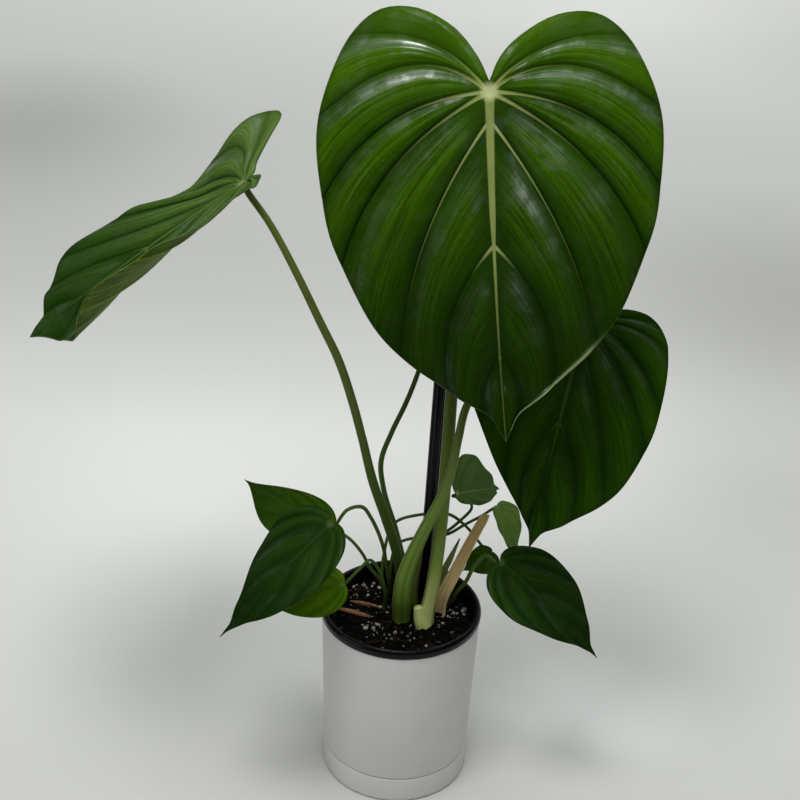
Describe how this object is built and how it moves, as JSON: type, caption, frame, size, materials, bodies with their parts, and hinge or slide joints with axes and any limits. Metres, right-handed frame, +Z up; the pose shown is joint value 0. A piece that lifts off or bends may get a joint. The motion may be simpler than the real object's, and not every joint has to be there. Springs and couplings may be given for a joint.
{
  "type": "potted dean mcdowell philodendron",
  "caption": "Potted philodendron with large heart-shaped, deeply ribbed leaves on long stalks, young side shoots, and a black growing pot inside a plain white outer pot.",
  "frame": {"origin": "centre of the base tray's flat foot, on the surface the pot stands on", "axes": "+Z up, -Y to the front that the large leaf faces, +X to the right seen from the front"},
  "size_m": [0.4268, 0.2283, 0.5869],
  "materials": {
    "white_pot": "smooth satin white plastic",
    "black_pot": "thin black moulded plastic, slightly glossy rim",
    "soil": "loose dark potting mix with white perlite and bark strips",
    "stake": "black fluted plastic, satin",
    "leaf": "satin green leaf with pale veins and glossy ribs",
    "leaf_dark": "satin dark green leaf with fine paler veins",
    "leaf_young": "satin young green leaf",
    "petiole": "smooth fleshy green stalk, finely striped",
    "petiole_young": "thin smooth green stalk",
    "scale_tan": "dry papery tan sheath with green stripes",
    "scale_green": "fresh fleshy green sheath"
  },
  "bodies": {
    "root": {"base_tray": "white_pot", "cachepot": "white_pot", "nursery_pot": "black_pot", "soil": "soil", "support_stake": "stake", "blade_front": "leaf", "petiole_front": "petiole", "blade_right": "leaf_dark", "petiole_right": "petiole", "blade_left": "leaf", "petiole_left": "petiole", "blade_back": "leaf_young", "petiole_back": "petiole", "blade_small_1": "leaf_young", "petiole_small_1": "petiole_young", "blade_small_2": "leaf_young", "petiole_small_2": "petiole_young", "blade_small_3": "leaf_young", "petiole_small_3": "petiole_young", "blade_small_4": "leaf_young", "petiole_small_4": "petiole_young", "blade_small_5": "leaf_young", "petiole_small_5": "petiole_young", "blade_small_6": "leaf_young", "petiole_small_6": "petiole_young", "blade_small_7": "leaf_young", "petiole_small_7": "petiole_young", "cataphyll_tan": "scale_tan", "cataphyll_green": "scale_green"}
  },
  "joints": []
}
